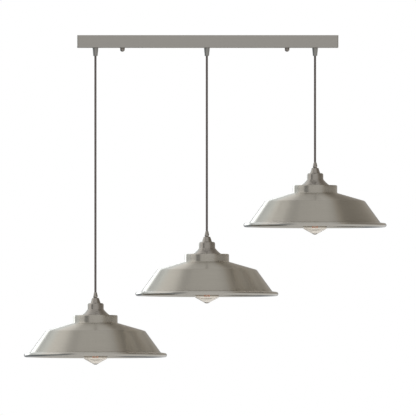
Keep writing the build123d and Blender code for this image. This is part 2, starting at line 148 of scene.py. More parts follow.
def arc(centre, radius, start_degrees, end_degrees, steps):
    """Points on an arc, both ends included."""
    made = []
    for step in range(steps + 1):
        angle = math.radians(start_degrees + (end_degrees - start_degrees) * step / steps)
        made.append(Vector((centre[0] + radius * math.cos(angle), centre[1] + radius * math.sin(angle))))
    return made


def other_side(outline, wall):
    """The other side of a sheet of that wall, which lies to the right of its outline, run backwards."""
    inner = []
    for i, point in enumerate(outline):
        ways = []
        if i > 0:
            ways.append((point - outline[i - 1]).normalized())
        if i < len(outline) - 1:
            ways.append((outline[i + 1] - point).normalized())
        way = sum(ways, Vector((0.0, 0.0))).normalized()
        normal = Vector((way.y, -way.x))
        mitre = max(SHARPEST_MITRE, way.dot(ways[0]))
        inner.append(point + normal * (wall / mitre))
    return inner[::-1]


def dense(outline, longest):
    """The outline with its long straight stretches cut into equal steps."""
    made = [Vector(outline[0])]
    for point, after in zip(outline, outline[1:]):
        point, after = Vector(point), Vector(after)
        steps = max(1, math.ceil((after - point).length / longest))
        made += [point.lerp(after, (step + 1) / steps) for step in range(steps)]
    return made


def turned(name, loop, x, z, segments, zone_starts=()):
    """A turned piece: a closed loop of (radius, height) swept round the vertical axis at x, above z.

    zone_starts are the rows at which the piece's second and later materials begin.
    """
    rows = list(loop) + [loop[0]]
    along = [0.0]
    for point, after in zip(rows, rows[1:]):
        along.append(along[-1] + (after - point).length)
    vertices, index = [], []
    for point in loop:
        if point.x < ON_AXIS:
            index.append([len(vertices)] * segments)
            vertices.append((0.0, 0.0, point.y))
            continue
        index.append([len(vertices) + s for s in range(segments)])
        for s in range(segments):
            angle = 2 * math.pi * s / segments
            vertices.append((point.x * math.sin(angle), point.x * math.cos(angle), point.y))
    index.append(index[0])
    faces, uvs, zones = [], [], []
    for row in range(len(rows) - 1):
        for s in range(segments):
            t = (s + 1) % segments
            corners = [(index[row][s], s, row), (index[row][t], s + 1, row)]
            corners += [(index[row + 1][t], s + 1, row + 1), (index[row + 1][s], s, row + 1)]
            kept = [c for i, c in enumerate(corners) if c[0] != corners[i - 1][0]]
            if len({c[0] for c in kept}) < 3:
                continue
            faces.append([c[0] for c in kept])
            uvs.append([(c[1] / segments, along[c[2]]) for c in kept])
            zones.append(sum(row >= start for start in zone_starts))
    made = new_object(name, vertices, faces, uvs, zones=zones)
    made.location = (x, 0.0, z)
    return made


# Node graphs

NOISE_ROUGHNESS = 0.6


class Graph:
    """Short calls for a node tree; one that adds a node returns its output, or says what else."""

    def __init__(self, tree):
        self.tree = tree
        self.tree.nodes.clear()

    def feed(self, socket, value):
        """Link an output to a socket, or set the socket's own value."""
        if isinstance(value, bpy.types.NodeSocket):
            self.tree.links.new(value, socket)
        else:
            socket.default_value = value

    def add(self, kind, inputs=None, output=0, **settings):
        node = self.tree.nodes.new(kind)
        for name, value in settings.items():
            setattr(node, name, value)
        for name, value in (inputs or {}).items():
            self.feed(node.inputs[name], value)
        return node.outputs[output] if node.outputs else node

    def math(self, operation, a, b=0.0):
        return self.add("ShaderNodeMath", {0: a, 1: b}, operation=operation)

    def vector(self, x, y, z):
        return self.add("ShaderNodeCombineXYZ", {"X": x, "Y": y, "Z": z})

    def split(self, vector):
        """All three outputs, by the names X, Y and Z."""
        node = self.tree.nodes.new("ShaderNodeSeparateXYZ")
        self.feed(node.inputs["Vector"], vector)
        return node.outputs

    def light_path(self):
        """All outputs, by their names."""
        return self.tree.nodes.new("ShaderNodeLightPath").outputs

    def noise(self, vector, scale=1.0, detail=3.0):
        inputs = {"Vector": vector, "Scale": scale, "Detail": detail, "Roughness": NOISE_ROUGHNESS}
        return self.add("ShaderNodeTexNoise", inputs)

    def spread(self, value, low, high, to_low, to_high, smooth=False):
        inputs = {"Value": value, "From Min": low, "From Max": high, "To Min": to_low, "To Max": to_high}
        kind = "SMOOTHSTEP" if smooth else "LINEAR"
        return self.add("ShaderNodeMapRange", inputs, interpolation_type=kind)

    def blend_colours(self, share, first, second):
        node = self.tree.nodes.new("ShaderNodeMix")
        node.data_type = "RGBA"
        sockets = {socket.identifier: socket for socket in node.inputs}
        for name, value in (("Factor_Float", share), ("A_Color", first), ("B_Color", second)):
            self.feed(sockets[name], value)
        return next(socket for socket in node.outputs if socket.identifier == "Result_Color")

    def blend_shaders(self, share, first, second):
        return self.add("ShaderNodeMixShader", {0: share, 1: first, 2: second})


def new_material(name):
    """A material with an empty graph."""
    material = bpy.data.materials.new(name)
    material.use_nodes = True
    return material, Graph(material.node_tree)


def finish_material(graph, shader):
    """The shader becomes the material's surface."""
    graph.add("ShaderNodeOutputMaterial", {"Surface": shader})


def colour(r, g, b):
    return (r, g, b, 1.0)


# Materials

NICKEL_DARK = colour(0.380, 0.357, 0.312)
NICKEL_LIGHT = colour(0.430, 0.404, 0.353)
# Collar: a darker copy of the shade's nickel on the same sheet, a painted shade
COLLAR_DARK = colour(0.335, 0.313, 0.274)
COLLAR_LIGHT = colour(0.380, 0.356, 0.312)
LIP_DARK = colour(0.390, 0.371, 0.335)
LIP_LIGHT = colour(0.430, 0.410, 0.371)
FITTING_DARK = colour(0.272, 0.251, 0.224)
FITTING_LIGHT = colour(0.315, 0.291, 0.260)
BAR_DARK = colour(0.322, 0.307, 0.281)
BAR_LIGHT = colour(0.363, 0.347, 0.318)
GRIP_DARK = colour(0.240, 0.234, 0.218)
GRIP_LIGHT = colour(0.284, 0.278, 0.260)
NUT_DARK = colour(0.212, 0.192, 0.172)
NUT_LIGHT = colour(0.250, 0.226, 0.204)
INSIDE_DARK = colour(0.90, 0.86, 0.80)
INSIDE_LIGHT = colour(0.95, 0.91, 0.85)
BRAID_DARK = colour(0.090, 0.075, 0.068)
BRAID_LIGHT = colour(0.138, 0.117, 0.108)
FILAMENT_DARK = colour(0.62, 0.26, 0.15)
FILAMENT_LIGHT = colour(0.76, 0.38, 0.24)
FLOOR_DARK = colour(0.86, 0.86, 0.86)
FLOOR_LIGHT = colour(0.90, 0.90, 0.90)
WHITE = colour(1.0, 1.0, 1.0)
GLASS_CLEAR = colour(0.98, 0.975, 0.96)
GLASS_TINT = colour(0.74, 0.69, 0.62)
GLASS_DENSITY = 640.0
GLOW = 0.28
FLOOR_WHITE = 0.7

# Brushing: lines across it in a metre, and how far they are drawn out along it
LINES_PER_METRE = 1600.0
TURN_LENGTH = 5.0
BROAD_LENGTH, BROAD_LINES = 0.3 * TURN_LENGTH, 0.1 * LINES_PER_METRE
STRAIGHT_FINE = (6.0, LINES_PER_METRE, LINES_PER_METRE)
STRAIGHT_BROAD = (2.0, 130.0, 130.0)
FINE_SHARE, BROAD_SHARE = 0.8, 0.2
ACROSS_THE_BRUSHING = 0.25

# Grain: the part of a noise's range that is spread out, and the relief that it gives
GRAIN_RANGE = 0.3, 0.7
BRUSH_RANGE = 0.25, 0.75
SMOOTHER, ROUGHER = 0.04, 0.05
RELIEF = 0.2 * MM
BRUSH_RELIEF, BRAID_RELIEF, PLAIN_RELIEF = 0.05, 0.4, 0.15

# Thread: specks round the cord and along a metre of it
THREADS = (24.0, 900.0, 1.0)


def round_brushing(graph, length, lines):
    """Noise drawn out round and round a turned piece, from 0 to 1."""
    parts = graph.split(graph.add("ShaderNodeUVMap", uv_map=UV_LAYER))
    angle = graph.math("MULTIPLY", parts["X"], 2 * math.pi)
    place = graph.vector(
        graph.math("MULTIPLY", graph.math("COSINE", angle), length),
        graph.math("MULTIPLY", graph.math("SINE", angle), length),
        graph.math("MULTIPLY", parts["Y"], lines),
    )
    return graph.noise(place)


def brushed_metal(name, dark, light, grains, roughness, stretch, tangent_axis=None):
    """Metal whose fine and broad grain follow the brushing, which draws its reflections out across it."""
    material, graph = new_material(name)
    fine, broad = grains(graph)
    fine_part = graph.math("MULTIPLY", fine, FINE_SHARE)
    tone = graph.math("ADD", fine_part, graph.math("MULTIPLY", broad, BROAD_SHARE))
    tint = graph.blend_colours(graph.spread(tone, *GRAIN_RANGE, 0.0, 1.0), dark, light)
    rough = graph.spread(fine, *BRUSH_RANGE, roughness - SMOOTHER, roughness + ROUGHER)
    bump = graph.add("ShaderNodeBump", {"Strength": BRUSH_RELIEF, "Distance": RELIEF, "Height": fine})
    inputs = {
        "Base Color": tint,
        "Metallic": 1.0,
        "Roughness": rough,
        "Normal": bump,
        "Anisotropic": stretch,
        "Anisotropic Rotation": ACROSS_THE_BRUSHING,
    }
    if tangent_axis is not None:
        inputs["Tangent"] = graph.add("ShaderNodeTangent", direction_type="RADIAL", axis=tangent_axis)
    finish_material(graph, graph.add("ShaderNodeBsdfPrincipled", inputs))
    return material


def turned_grains(graph):
    """Brushing round a turned piece."""
    fine = round_brushing(graph, TURN_LENGTH, LINES_PER_METRE)
    return fine, round_brushing(graph, BROAD_LENGTH, BROAD_LINES)


def straight_grains(graph):
    """Brushing along the bar."""
    place = graph.add("ShaderNodeTexCoord", output="Object")
    fine = graph.add("ShaderNodeMapping", {"Vector": place, "Scale": STRAIGHT_FINE})
    broad = graph.add("ShaderNodeMapping", {"Vector": place, "Scale": STRAIGHT_BROAD})
    return graph.noise(fine), graph.noise(broad)


def braid_cloth():
    """Dark brown-grey braid: thread colour that varies from strand to strand."""
    material, graph = new_material("cord_braid")
    uv = graph.add("ShaderNodeUVMap", uv_map=UV_LAYER)
    threads = graph.add("ShaderNodeMapping", {"Vector": uv, "Scale": THREADS})
    speckle = graph.noise(threads, detail=2.0)
    tint = graph.blend_colours(graph.spread(speckle, *GRAIN_RANGE, 0.0, 1.0), BRAID_DARK, BRAID_LIGHT)
    bump = graph.add("ShaderNodeBump", {"Strength": BRAID_RELIEF, "Distance": RELIEF, "Height": speckle})
    inputs = {
        "Base Color": tint,
        "Roughness": 0.85,
        "Normal": bump,
        "Sheen Weight": 0.25,
        "Sheen Roughness": 0.5,
    }
    finish_material(graph, graph.add("ShaderNodeBsdfPrincipled", inputs))
    return material


def clear_glass():
    """Clear blown glass with faint ripples and a smoky amber tint that deepens towards its edges."""
    material, graph = new_material("clear_bulb_glass")
    place = graph.add("ShaderNodeTexCoord", output="Object")
    ripple = graph.noise(place, scale=60.0, detail=1.0)
    bump = graph.add("ShaderNodeBump", {"Strength": 0.05, "Distance": 0.5 * MM, "Height": ripple})
    rough = graph.spread(ripple, *GRAIN_RANGE, 0.0, 0.015)
    inputs = {
        "Base Color": GLASS_CLEAR,
        "Roughness": rough,
        "Transmission Weight": 1.0,
        "IOR": 1.48,
        "Normal": bump,
    }
    shader = graph.add("ShaderNodeBsdfPrincipled", inputs)
    tint = graph.add("ShaderNodeVolumeAbsorption", {"Color": GLASS_TINT, "Density": GLASS_DENSITY})
    graph.add("ShaderNodeOutputMaterial", {"Surface": shader, "Volume": tint})
    return material


def plain(name, dark, light, roughness, metallic=0.0, grain_scale=400.0):
    """A moulded, drawn or turned surface with a fine grain in its colour, roughness and relief."""
    material, graph = new_material(name)
    place = graph.add("ShaderNodeTexCoord", output="Object")
    grain = graph.noise(place, scale=grain_scale)
    tint = graph.blend_colours(graph.spread(grain, *GRAIN_RANGE, 0.0, 1.0), dark, light)
    rough = graph.spread(grain, *GRAIN_RANGE, roughness - ROUGHER, roughness + ROUGHER)
    relief = graph.add("ShaderNodeBump", {"Strength": PLAIN_RELIEF, "Distance": RELIEF, "Height": grain})
    inputs = {"Base Color": tint, "Roughness": rough, "Metallic": metallic, "Normal": relief}
    finish_material(graph, graph.add("ShaderNodeBsdfPrincipled", inputs))
    return material


def glowing_filament():
    """Warm filament wire that glows faintly."""
    material, graph = new_material("warm_filament")
    place = graph.add("ShaderNodeTexCoord", output="Object")
    grain = graph.noise(place, scale=300.0)
    glow = graph.blend_colours(grain, FILAMENT_DARK, FILAMENT_LIGHT)
    inputs = {"Base Color": glow, "Roughness": 0.5, "Emission Color": glow, "Emission Strength": GLOW}
    finish_material(graph, graph.add("ShaderNodeBsdfPrincipled", inputs))
    return material


def pale_floor():
    """White floor that keeps a faint shadow and looks white in metal and glass too."""
    material, graph = new_material("pale_floor")
    place = graph.add("ShaderNodeTexCoord", output="Object")
    cloud = graph.noise(place, scale=3.0)
    tint = graph.blend_colours(cloud, FLOOR_DARK, FLOOR_LIGHT)
    ground = graph.add("ShaderNodeBsdfPrincipled", {"Base Color": tint, "Roughness": 0.7})
    white = graph.add("ShaderNodeEmission", {"Color": WHITE, "Strength": 1.0})
    path = graph.light_path()
    seen = graph.math("MAXIMUM", path["Is Camera Ray"], path["Is Glossy Ray"])
    seen = graph.math("MAXIMUM", seen, path["Is Transmission Ray"])
    finish_material(graph, graph.blend_shaders(graph.math("MULTIPLY", seen, FLOOR_WHITE), ground, white))
    return material


def turned_metal(name, dark, light, roughness, stretch):
    """Metal brushed round its upright axis."""
    return brushed_metal(name, dark, light, turned_grains, roughness, stretch, "Z")


SHADE_NICKEL = turned_metal("nickel_brushed_shade", NICKEL_DARK, NICKEL_LIGHT, 0.35, 1.0)
LIP_NICKEL = turned_metal("nickel_rolled_lip", LIP_DARK, LIP_LIGHT, 0.16, 0.2)
INSIDE_NICKEL = turned_metal("nickel_inside", INSIDE_DARK, INSIDE_LIGHT, 0.42, 0.3)
COLLAR_NICKEL = turned_metal("nickel_brushed_collar", COLLAR_DARK, COLLAR_LIGHT, 0.24, 0.8)
FITTING_NICKEL = turned_metal("nickel_fittings", FITTING_DARK, FITTING_LIGHT, 0.17, 0.3)
BELL_NICKEL = turned_metal("nickel_bells", FITTING_DARK, FITTING_LIGHT, 0.27, 0.4)
NUT_NICKEL = turned_metal("nickel_ball_nuts", NUT_DARK, NUT_LIGHT, 0.22, 0.2)
GRIP_NICKEL = turned_metal("nickel_cord_grips", GRIP_DARK, GRIP_LIGHT, 0.30, 0.5)
BAR_NICKEL = brushed_metal("nickel_brushed_bar", BAR_DARK, BAR_LIGHT, straight_grains, 0.36, 0.9)
BRAID = braid_cloth()
GLASS = clear_glass()
FILAMENT = glowing_filament()
ZINC = plain("zinc_plate", colour(0.50, 0.51, 0.52), colour(0.66, 0.67, 0.68), 0.34, 1.0, 250.0)
STRAP_STEEL = plain("dull_zinc_strap", colour(0.33, 0.34, 0.35), colour(0.43, 0.44, 0.45), 0.62, 1.0, 250.0)
BRASS = plain("plain_brass", colour(0.60, 0.42, 0.15), colour(0.76, 0.56, 0.26), 0.3, 1.0)
CAP_METAL = plain("bulb_cap_metal", colour(0.58, 0.54, 0.45), colour(0.72, 0.68, 0.58), 0.28, 1.0)
WHITE_PLASTIC = plain("white_polyamide", colour(0.74, 0.73, 0.69), colour(0.84, 0.83, 0.80), 0.5)
BLACK_PLASTIC = plain("black_phenolic", colour(0.018, 0.018, 0.018), colour(0.04, 0.04, 0.04), 0.4)
CORD_JACKET = plain("cord_jacket", colour(0.088, 0.073, 0.066), colour(0.150, 0.128, 0.118), 0.8)
BROWN_CORE = plain("brown_core", colour(0.12, 0.05, 0.02), colour(0.20, 0.09, 0.04), 0.45)
BLUE_CORE = plain("blue_core", colour(0.02, 0.10, 0.36), colour(0.04, 0.16, 0.48), 0.45)
EARTH_CORE = plain("green_yellow_core", colour(0.06, 0.28, 0.03), colour(0.75, 0.66, 0.05), 0.45, 0.0, 180.0)


def dress(made, *materials):
    """Give an object its material, or the materials of its zones in order."""
    if made.data.materials:  # clearing resets the zones of a mesh, even when it has no material
        made.data.materials.clear()
    for material in materials:
        made.data.materials.append(material)


def piece(made, body, materials, node):
    """Dress a new piece, let it ride on a body and stand for a node."""
    dress(made, *materials)
    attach(made, body)
    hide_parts(node)


# Cords: a short piece below each grip of the bar, then the long run down to the pendant

CORD_RADIUS = 3.0 * MM
BRAID_DEPTH = 0.09 * MM
BRAID_STRANDS = 8
BRAID_PITCH = 22.0 * MM
BRAID_SIDES = 32
BRAID_STEP = 0.85 * MM
CORD_HIDDEN = 6.0 * MM
CORD_GAP = 0.15 * MM
SEAM_OVERLAP = 1.0 * MM


def braided_tube(name, x, top, bottom):
    """A straight braided tube with two crossing sets of strands; also the points of its centre line."""
    rows = max(2, round((top - bottom) / BRAID_STEP))
    vertices, faces, uvs = [], [], []
    for row in range(rows + 1):
        z = top + (bottom - top) * row / rows
        for side in range(BRAID_SIDES):
            angle = 2 * math.pi * side / BRAID_SIDES
            climb = 2 * math.pi * z / BRAID_PITCH
            over = math.cos(BRAID_STRANDS * (angle + climb) / 2) ** 2
            under = math.cos(BRAID_STRANDS * (angle - climb) / 2) ** 2
            radius = CORD_RADIUS - BRAID_DEPTH * (1.0 - max(over, under))
            vertices.append((x + radius * math.sin(angle), radius * math.cos(angle), z))
    for row in range(rows):
        for side in range(BRAID_SIDES):
            after = (side + 1) % BRAID_SIDES
            low, high = row * BRAID_SIDES, (row + 1) * BRAID_SIDES
            faces.append([low + side, low + after, high + after, high + side])
            near, far = (top - bottom) * row / rows, (top - bottom) * (row + 1) / rows
            u, v = side / BRAID_SIDES, (side + 1) / BRAID_SIDES
            uvs.append([(u, near), (v, near), (v, far), (u, far)])
    faces.append(list(range(BRAID_SIDES))[::-1])
    uvs.append([(0.0, 0.0)] * BRAID_SIDES)
    last = rows * BRAID_SIDES
    faces.append([last + side for side in range(BRAID_SIDES)])
    uvs.append([(0.0, top - bottom)] * BRAID_SIDES)
    tube = new_object(name, vertices, faces, uvs, sharp_degrees=60.0)
    return tube, [(x, 0.0, top), (x, 0.0, bottom)]


joint_place = {joint["name"]: joint.get("pos_m") for joint in frame["joints"]}
for side in SIDES:
    x, mouth, _ = middle_of(f"bar_cord_grip_{side}")
    fore_aft = joint_place[f"swing_fore_aft_{side}"][2]
    sideways = joint_place[f"swing_sideways_{side}"][2]
    _, _, grip_top = middle_of(f"holder_cord_grip_{side}")
    seam = (fore_aft + sideways) / 2

    stub, _ = braided_tube(f"cord_bend_{side}", x, mouth + CORD_HIDDEN, seam - SEAM_OVERLAP)
    dress(stub, BRAID)
    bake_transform(stub)
    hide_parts(f"cord_stub_{side}")

    run, line = braided_tube(f"cord_run_{side}", x, seam, grip_top - CORD_HIDDEN)
    dress(run, BRAID)
    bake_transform(run)
    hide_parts(f"cord_{side}")


# Bar cover, with rounded ends and edges and an open back

BAR_WALL = 1.5 * MM
BAR_CORNER = 4.0 * MM
BAR_EDGE = 2.0 * MM
CORNER_STEPS = 6


def rounded_rectangle(length, depth, radius, z):
    """Corners of a rounded rectangle at one height, counter-clockwise from above."""
    ring = []
    for quarter, (sx, sy) in enumerate(((1, 1), (-1, 1), (-1, -1), (1, -1))):
        cx, cy = sx * (length / 2 - radius), sy * (depth / 2 - radius)
        for step in range(CORNER_STEPS + 1):
            angle = math.pi / 2 * (quarter + step / CORNER_STEPS)
            ring.append((cx + radius * math.cos(angle), cy + radius * math.sin(angle), z))
    return ring


def bar_cover():
    """A tray: rings down the outside, over the rounded bottom edge, and up the inside."""
    low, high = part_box("ceiling_bar_cover")
    length, depth = high.x - low.x, high.y - low.y
    rings = [rounded_rectangle(length, depth, BAR_CORNER, high.z)]
    for step in range(CORNER_STEPS + 1):
        angle = math.pi / 2 * step / CORNER_STEPS
        inset = BAR_EDGE * (1 - math.cos(angle))
        z = low.z + BAR_EDGE * (1 - math.sin(angle))
        rings.append(rounded_rectangle(length - 2 * inset, depth - 2 * inset, BAR_CORNER - inset, z))
    inner_length, inner_depth = length - 2 * BAR_WALL, depth - 2 * BAR_WALL
    inner_radius = BAR_CORNER - BAR_WALL
    floor = rounded_rectangle(inner_length, inner_depth, inner_radius, low.z + BAR_WALL)
    brim = rounded_rectangle(inner_length, inner_depth, inner_radius, high.z)
    vertices = [v for ring in rings + [floor, brim] for v in ring]
    count = len(rings[0])
    faces = []
    last_outer = len(rings) - 1
    for row in range(last_outer):
        for i in range(count):
            j = (i + 1) % count
            faces.append([row * count + i, (row + 1) * count + i, (row + 1) * count + j, row * count + j])
    faces.append([last_outer * count + i for i in range(count)][::-1])
    floor_start, brim_start = (last_outer + 1) * count, (last_outer + 2) * count
    faces.append([floor_start + i for i in range(count)])
    for i in range(count):
        j = (i + 1) % count
        faces.append([floor_start + i, brim_start + i, brim_start + j, floor_start + j])
        faces.append([i, j, brim_start + j, brim_start + i])
    return new_object("bar_cover", vertices, faces, sharp_degrees=40.0)


piece(bar_cover(), "bar", [BAR_NICKEL], "ceiling_bar_cover")


# Small turned pieces on the bar

SMALL_SEGMENTS = 64
GRIP_FACET = 2.0 * MM
GRIP_STEM_RADIUS = 5.0 * MM
GRIP_BASE_RADIUS = 8.0 * MM
GRIP_MOUTH_RADIUS = 5.9 * MM
GRIP_ROUNDINGS = 0.5 * MM, 0.2 * MM, 0.5 * MM, 1.6 * MM
NUT_RADIUS = 6.5 * MM
NUT_BORE = 2.55 * MM
NUT_STEPS = 20
NUT_ROUNDINGS = 0.1 * MM, 0.6 * MM


def bar_grip(side):
    """Conical cord grip with a rounded mouth and the stem that goes up into the bar."""
    x, mouth, stem_top = middle_of(f"bar_cord_grip_{side}")
    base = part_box("ceiling_bar_cover")[0].z - mouth
    bore = CORD_RADIUS + CORD_GAP
    outline = rounded(
        [
            (bore, stem_top - mouth),
            (GRIP_STEM_RADIUS, stem_top - mouth),
            (GRIP_STEM_RADIUS, base),
            (GRIP_BASE_RADIUS, base),
            (GRIP_MOUTH_RADIUS, 0.0),
            (bore, 0.0),
        ],
        GRIP_ROUNDINGS,
    )
    made = turned(f"bar_grip_{side}", dense(outline, GRIP_FACET), x, mouth, SMALL_SEGMENTS)
    piece(made, "bar", [GRIP_NICKEL], f"bar_cord_grip_{side}")


def ball_nut(side):
    """Short bored neck and round end."""
    x, bottom, top = middle_of(f"ball_nut_{side}")
    height = top - bottom
    ball = arc((0.0, NUT_RADIUS), NUT_RADIUS, 0.0, -90.0, NUT_STEPS)
    neck = rounded(
        [(NUT_BORE, NUT_RADIUS), (NUT_BORE, height), (NUT_RADIUS, height), (NUT_RADIUS, NUT_RADIUS)],
        NUT_ROUNDINGS,
    )
    loop = neck[:-1] + ball + [Vector((0.0, NUT_RADIUS))]
    made = turned(f"ball_nut_piece_{side}", loop, x, bottom, SMALL_SEGMENTS)
    piece(made, f"ball_nut_{side}", [NUT_NICKEL], f"ball_nut_{side}")


for side in SIDES:
    bar_grip(side)
for side in NUT_SIDES:
    ball_nut(side)


# Pendant pieces

SHADE_SEGMENTS, SHADE_FACET, SHADE_STEPS = 256, 6.0 * MM, 10
HOLDER_SEGMENTS, HOLDER_FACET = 128, 3.0 * MM

# Shade, from the collar's top to the rolled lip; finishes change at the shoulder and at the flange, and the
# collar's darker nickel is a painted shade
SHADE_WALL = 1.2 * MM
SHADE_HOLE = 20.15 * MM
COLLAR_TOP = 112.5 * MM
COLLAR_RADIUS, COLLAR_FOOT = 59.5 * MM, 91.6 * MM
KNEE_RADIUS, KNEE_HEIGHT = 133.5 * MM, 70.2 * MM
SKIRT_RADIUS, SKIRT_FOOT = 175.5 * MM, 12.3 * MM
SHADE_ROUNDINGS = 3.0 * MM, 2.5 * MM, 10.0 * MM, 4.0 * MM
LIP_RADIUS = 191.7 * MM
BEAD_RADIUS = 5.4 * MM
BEAD_SWEEP, BEAD_STEPS = 300.0, 48
SHOULDER_START = 60.2 * MM
FLANGE_START = 178.5 * MM

# Bell: its edge and the foot of its flare are heights above the collar
BELL_TOP = 128.6 * MM
BELL_RADIUS, BELL_INSIDE = 37.2 * MM, 33.8 * MM
BELL_EDGE_RADIUS, BELL_EDGE = 37.0 * MM, 1.4 * MM
FLARE_RADIUS, FLARE_FOOT = 36.3 * MM, 1.9 * MM
FLARE_HOLLOW, FLARE_EASE, FLARE_STEPS = 0.55 * MM, 0.9, 14

# Cap: a drum, a tapered tier whose waist is a height above the drum, and a hole for the cord's grip
DRUM_RADIUS = 22.2 * MM
CAP_WALL = 1.5 * MM
CAP_TOP = 144.9 * MM
CAP_HOLE = 4.95 * MM
TIER_TOP = 158.9 * MM
TIER_RADIUS, TIER_INSIDE = 9.2 * MM, 7.7 * MM
TIER_WAIST_RADIUS, TIER_WAIST = 11.6 * MM, 7.1 * MM
TIER_FOOT_RADIUS, TIER_FOOT_INSIDE = 14.0 * MM, 11.8 * MM
CAP_ROUNDINGS = 2.0 * MM, 3.0 * MM, 2.0 * MM, 5.0 * MM
CAP_INSIDE_ROUNDINGS = 3.5 * MM, 0.5 * MM, 0.5 * MM

# Grip on the cap: its stem, and its barrel as radii and heights above the cap in millimetres
GRIP_TOP = 174.1 * MM
BARREL_STEM_RADIUS, BARREL_STEM_LENGTH = 4.9 * MM, 8.0 * MM
BARREL_MOUTH_RADIUS = 3.5 * MM
BARREL = (
    (5.3, 0.0),
    (5.5, 1.2),
    (5.95, 2.2),
    (6.2, 3.2),
    (6.2, 4.8),
    (5.9, 6.8),
    (5.4, 9.0),
    (4.7, 11.6),
    (4.1, 14.0),
    (3.8, 14.9),
)


def shade(side):
    """Spun shade: collar, shoulder, knee, skirt, flange and rolled lip."""
    x, lip, _ = middle_of(f"shade_{side}")
    bead_centre = (LIP_RADIUS - BEAD_RADIUS, BEAD_RADIUS)
    outline = rounded(
        [
            (SHADE_HOLE, COLLAR_TOP),
            (COLLAR_RADIUS, COLLAR_TOP),
            (COLLAR_RADIUS, COLLAR_FOOT),
            (KNEE_RADIUS, KNEE_HEIGHT),
            (SKIRT_RADIUS, SKIRT_FOOT),
            (bead_centre[0], 2 * BEAD_RADIUS),
        ],
        SHADE_ROUNDINGS,
        steps=SHADE_STEPS,
    )
    outline = dense(outline, SHADE_FACET)
    bead = arc(bead_centre, BEAD_RADIUS, 90.0, 90.0 - BEAD_SWEEP, BEAD_STEPS)
    outside = outline[:-1] + bead
    loop = outside + other_side(outside, SHADE_WALL)
    shoulder_start = next(i for i, point in enumerate(outside) if point.x > SHOULDER_START)
    flange_start = next(i for i, point in enumerate(outside) if point.x > FLANGE_START)
    zone_starts = (shoulder_start, flange_start, len(outline) - 1, len(outside))
    made = turned(f"shade_piece_{side}", loop, x, lip, SHADE_SEGMENTS, zone_starts=zone_starts)
    # Painted shade: the collar's nickel is a darker copy of the skirt's, though both are one sheet
    metals = [COLLAR_NICKEL, SHADE_NICKEL, FITTING_NICKEL, LIP_NICKEL, INSIDE_NICKEL]
    piece(made, f"pendant_{side}", metals, f"shade_{side}")


def bell(side):
    """Flared bell between the shade and the stepped cap."""
    x, lip, _ = middle_of(f"shade_{side}")
    neck, foot = Vector((DRUM_RADIUS, BELL_TOP)), Vector((FLARE_RADIUS, COLLAR_TOP + FLARE_FOOT))
    flare = []
    for step in range(FLARE_STEPS + 1):
        share = step / FLARE_STEPS
        bow = math.sin(math.pi * share)
        flare.append(neck.lerp(foot, share) - Vector((FLARE_HOLLOW * bow**FLARE_EASE, FLARE_HOLLOW * bow)))
    edge = [Vector((BELL_EDGE_RADIUS, COLLAR_TOP + BELL_EDGE)), Vector((BELL_RADIUS, COLLAR_TOP))]
    inner = [Vector((BELL_INSIDE, COLLAR_TOP)), Vector((DRUM_RADIUS - CAP_WALL, BELL_TOP))]
    made = turned(f"bell_piece_{side}", dense(flare + edge + inner, HOLDER_FACET), x, lip, HOLDER_SEGMENTS)
    piece(made, f"pendant_{side}", [BELL_NICKEL], f"holder_bell_{side}")


def cap(side):
    """Stepped cap: wide drum, rounded shoulder, tapered upper tier."""
    x, lip, _ = middle_of(f"shade_{side}")
    outline = rounded(
        [
            (CAP_HOLE, TIER_TOP),
            (TIER_RADIUS, TIER_TOP),
            (TIER_WAIST_RADIUS, CAP_TOP + TIER_WAIST),
            (TIER_FOOT_RADIUS, CAP_TOP),
            (DRUM_RADIUS, CAP_TOP),
            (DRUM_RADIUS, BELL_TOP),
        ],
        CAP_ROUNDINGS,
    )
    inner = rounded(
        [
            (DRUM_RADIUS - CAP_WALL, BELL_TOP),
            (DRUM_RADIUS - CAP_WALL, CAP_TOP - CAP_WALL),
            (TIER_FOOT_INSIDE, CAP_TOP - CAP_WALL),
            (TIER_INSIDE, TIER_TOP - CAP_WALL),
            (CAP_HOLE, TIER_TOP - CAP_WALL),
        ],
        CAP_INSIDE_ROUNDINGS,
    )
    made = turned(f"cap_piece_{side}", dense(outline + inner, HOLDER_FACET), x, lip, HOLDER_SEGMENTS)
    piece(made, f"pendant_{side}", [FITTING_NICKEL], f"holder_cap_{side}")


def holder_grip(side):
    """Small barrel that grips the cord on top of the cap."""
    x, lip, _ = middle_of(f"shade_{side}")
    bore, stem_foot = CORD_RADIUS + CORD_GAP, TIER_TOP - BARREL_STEM_LENGTH
    loop = [(bore, GRIP_TOP), (bore, stem_foot)]
    loop += [(BARREL_STEM_RADIUS, stem_foot), (BARREL_STEM_RADIUS, TIER_TOP)]
    loop += [(radius * MM, TIER_TOP + height * MM) for radius, height in BARREL]
    loop.append((BARREL_MOUTH_RADIUS, GRIP_TOP))
    made = turned(f"holder_grip_piece_{side}", [Vector(p) for p in loop], x, lip, SMALL_SEGMENTS)
    piece(made, f"pendant_{side}", [FITTING_NICKEL], f"holder_cord_grip_{side}")


# Bulb

BULB_SEGMENTS, BULB_FACET, BULB_STEPS = 128, 4.0 * MM, 12
BULB_TIP = -20.0 * MM
BULB_RADIUS = 32.0 * MM
BULB_BELLY = 6.0 * MM
BULB_KNEE, BULB_KNEE_INSIDE = -4.0 * MM, -3.5 * MM
TIP_RADIUS, TIP_INSIDE = 3.0 * MM, 4.0 * MM
NECK_RADIUS = 12.0 * MM
NECK_TOP, NECK_FOOT = 107.0 * MM, 91.0 * MM
BULB_ROUNDINGS = 25.0 * MM, 8.0 * MM, 4.0 * MM, 9.0 * MM
BULB_INSIDE_ROUNDINGS = 20.0 * MM, 3.4 * MM, 8.0 * MM, 25.0 * MM
GLASS_WALL = 1.0 * MM
THICK_END = 1.2 * MM


